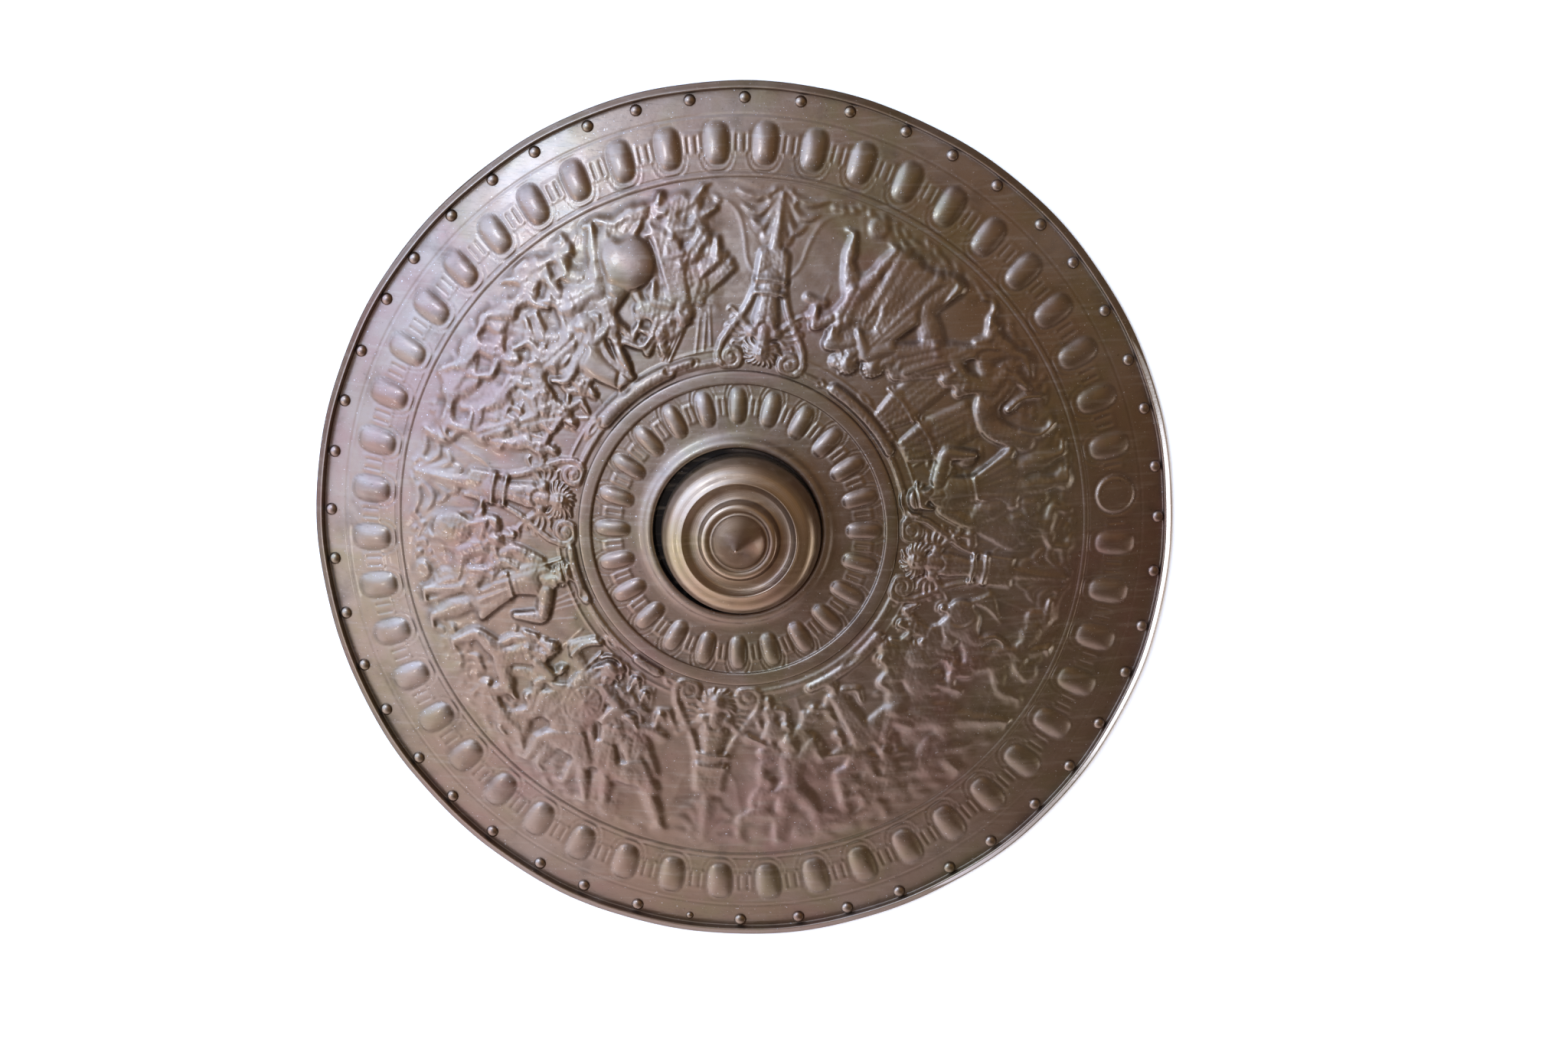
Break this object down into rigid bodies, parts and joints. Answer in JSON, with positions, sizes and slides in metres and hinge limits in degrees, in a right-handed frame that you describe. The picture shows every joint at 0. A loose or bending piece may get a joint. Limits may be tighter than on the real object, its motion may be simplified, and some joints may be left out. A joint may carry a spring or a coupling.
{
  "type": "buckler shield",
  "caption": "Round dished parade shield in embossed bronze, with a figured band, rings of eggs, a riveted border and a turned boss with a spike.",
  "frame": {"origin": "centre of the rim's circle, in the plane of the rim's underside", "axes": "+Z out of the shield's front along the boss; +Y towards the top of the picture; +X to its right"},
  "size_m": [0.56, 0.56, 0.1349],
  "materials": {
    "plate_bronze": "dark brown patina, satin, lighter where rubbed",
    "boss_bronze": "copper-brown patina, satin",
    "rivet_bronze": "dark brown patina, satin"
  },
  "bodies": {
    "root": {"shield_plate": "plate_bronze", "boss": "boss_bronze", "rivet_01": "rivet_bronze", "rivet_02": "rivet_bronze", "rivet_03": "rivet_bronze", "rivet_04": "rivet_bronze", "rivet_05": "rivet_bronze", "rivet_06": "rivet_bronze", "rivet_07": "rivet_bronze", "rivet_08": "rivet_bronze", "rivet_09": "rivet_bronze", "rivet_10": "rivet_bronze", "rivet_11": "rivet_bronze", "rivet_12": "rivet_bronze", "rivet_13": "rivet_bronze", "rivet_14": "rivet_bronze", "rivet_15": "rivet_bronze", "rivet_16": "rivet_bronze", "rivet_17": "rivet_bronze", "rivet_18": "rivet_bronze", "rivet_19": "rivet_bronze", "rivet_20": "rivet_bronze", "rivet_21": "rivet_bronze", "rivet_22": "rivet_bronze", "rivet_23": "rivet_bronze", "rivet_24": "rivet_bronze", "rivet_25": "rivet_bronze", "rivet_26": "rivet_bronze", "rivet_27": "rivet_bronze", "rivet_28": "rivet_bronze", "rivet_29": "rivet_bronze", "rivet_30": "rivet_bronze", "rivet_31": "rivet_bronze", "rivet_32": "rivet_bronze", "rivet_33": "rivet_bronze", "rivet_34": "rivet_bronze", "rivet_35": "rivet_bronze", "rivet_36": "rivet_bronze", "rivet_37": "rivet_bronze", "rivet_38": "rivet_bronze", "rivet_39": "rivet_bronze", "rivet_40": "rivet_bronze", "rivet_41": "rivet_bronze", "rivet_42": "rivet_bronze", "rivet_43": "rivet_bronze", "rivet_44": "rivet_bronze", "rivet_45": "rivet_bronze", "rivet_46": "rivet_bronze", "rivet_47": "rivet_bronze", "rivet_48": "rivet_bronze"}
  },
  "joints": []
}
